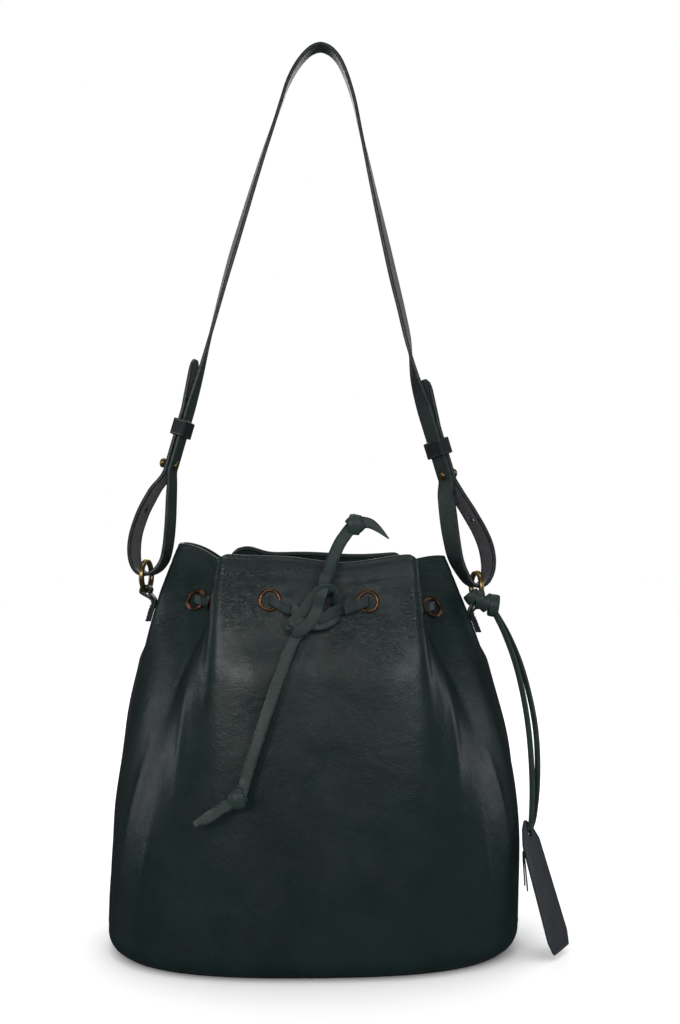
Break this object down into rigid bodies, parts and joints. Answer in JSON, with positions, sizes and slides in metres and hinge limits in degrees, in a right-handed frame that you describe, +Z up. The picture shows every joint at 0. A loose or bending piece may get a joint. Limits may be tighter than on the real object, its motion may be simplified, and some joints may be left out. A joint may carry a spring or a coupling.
{
  "type": "drawstring bucket bag",
  "caption": "Soft leather drawstring bucket bag with an oval base, gathered rim, eyelets and lace, ring-hung shoulder strap buttoned over studs, and a hang tag.",
  "frame": {"origin": "middle of the underside of the base", "axes": "+Z up through the strap, -Y out of the bag's front where the lace is tied, +X to the side with the hang tag"},
  "size_m": [0.327, 0.2177, 0.6533],
  "materials": {
    "body_leather": "smooth, semi-gloss",
    "strap_leather": "grained, satin",
    "tag_leather": "satin, embossed",
    "lace_leather": "satin, stitched edges",
    "lining": "matte twill",
    "base_board": "pressed fibre board",
    "thread": "waxed",
    "eyelet_brass": "antique, darkened",
    "ring_brass": "aged, polished wire"
  },
  "bodies": {
    "bag": {"front_panel": "body_leather", "back_panel": "body_leather", "base_panel": "body_leather", "side_welt_left": "body_leather", "side_welt_right": "body_leather", "rim_facing": "body_leather", "ring_tab_left": "body_leather", "ring_tab_right": "body_leather", "base_board": "base_board", "lining_wall": "lining", "lining_floor": "lining", "drawstring": "lace_leather", "lace_knot": "lace_leather", "tag_knot": "lace_leather", "eyelet_front_left_1": "eyelet_brass", "eyelet_front_left_2": "eyelet_brass", "eyelet_front_left_3": "eyelet_brass", "eyelet_front_right_1": "eyelet_brass", "eyelet_front_right_2": "eyelet_brass", "eyelet_front_right_3": "eyelet_brass", "eyelet_back_left_1": "eyelet_brass", "eyelet_back_left_2": "eyelet_brass", "eyelet_back_left_3": "eyelet_brass", "eyelet_back_right_1": "eyelet_brass", "eyelet_back_right_2": "eyelet_brass", "eyelet_back_right_3": "eyelet_brass"},
    "ring_left": {"ring_left": "ring_brass"},
    "ring_right": {"ring_right": "ring_brass"},
    "strap": {"shoulder_strap": "strap_leather", "stud_left": "ring_brass", "stud_right": "ring_brass", "stud_screw_left": "ring_brass", "stud_screw_right": "ring_brass"},
    "keeper_left": {"keeper_left": "strap_leather"},
    "keeper_right": {"keeper_right": "strap_leather"},
    "tag": {"tag_lace_front": "lace_leather", "tag_lace_back": "lace_leather", "hang_tag": "tag_leather", "tag_thread": "thread"},
    "upper_lace_end": {"lace_tail_upper": "lace_leather", "stopper_knot_upper": "lace_leather", "lace_end_upper": "lace_leather"},
    "lower_lace_end": {"lace_tail_lower": "lace_leather", "stopper_knot_lower": "lace_leather", "lace_end_lower": "lace_leather"}
  },
  "joints": [
    {"name": "strap_swing", "type": "hinge", "parent": "bag", "child": "strap", "pos_m": [0, 0, 0.25735], "axis": [0.9994, 0, -0.0344], "range_deg": [-55, 55]},
    {"name": "ring_left_turn", "type": "hinge", "parent": "bag", "child": "ring_left", "pos_m": [-0.1206, 0, 0.2615], "axis": [-0.9744, 0.225, 0], "continuous": true},
    {"name": "ring_right_turn", "type": "hinge", "parent": "bag", "child": "ring_right", "pos_m": [0.1206, 0, 0.2532], "axis": [0.9744, 0.225, 0], "continuous": true},
    {"name": "keeper_left_slide", "type": "slide", "parent": "strap", "child": "keeper_left", "axis": [0.275, 0, 0.9615], "range_m": [-0.008, 0.006]},
    {"name": "keeper_right_slide", "type": "slide", "parent": "strap", "child": "keeper_right", "axis": [-0.2873, 0, 0.9578], "range_m": [-0.003, 0.006]},
    {"name": "tag_swing", "type": "hinge", "parent": "bag", "child": "tag", "pos_m": [0.1305, -0.0145, 0.2405], "axis": [0, -1, 0], "range_deg": [0, 60]},
    {"name": "upper_lace_fold", "type": "hinge", "parent": "bag", "child": "upper_lace_end", "pos_m": [0.0073, -0.09, 0.255], "axis": [1, 0, 0], "range_deg": [0, 100]},
    {"name": "lower_lace_swing", "type": "hinge", "parent": "bag", "child": "lower_lace_end", "pos_m": [-0.0085, -0.092, 0.228], "axis": [-1, 0, 0], "range_deg": [0, 90]}
  ]
}
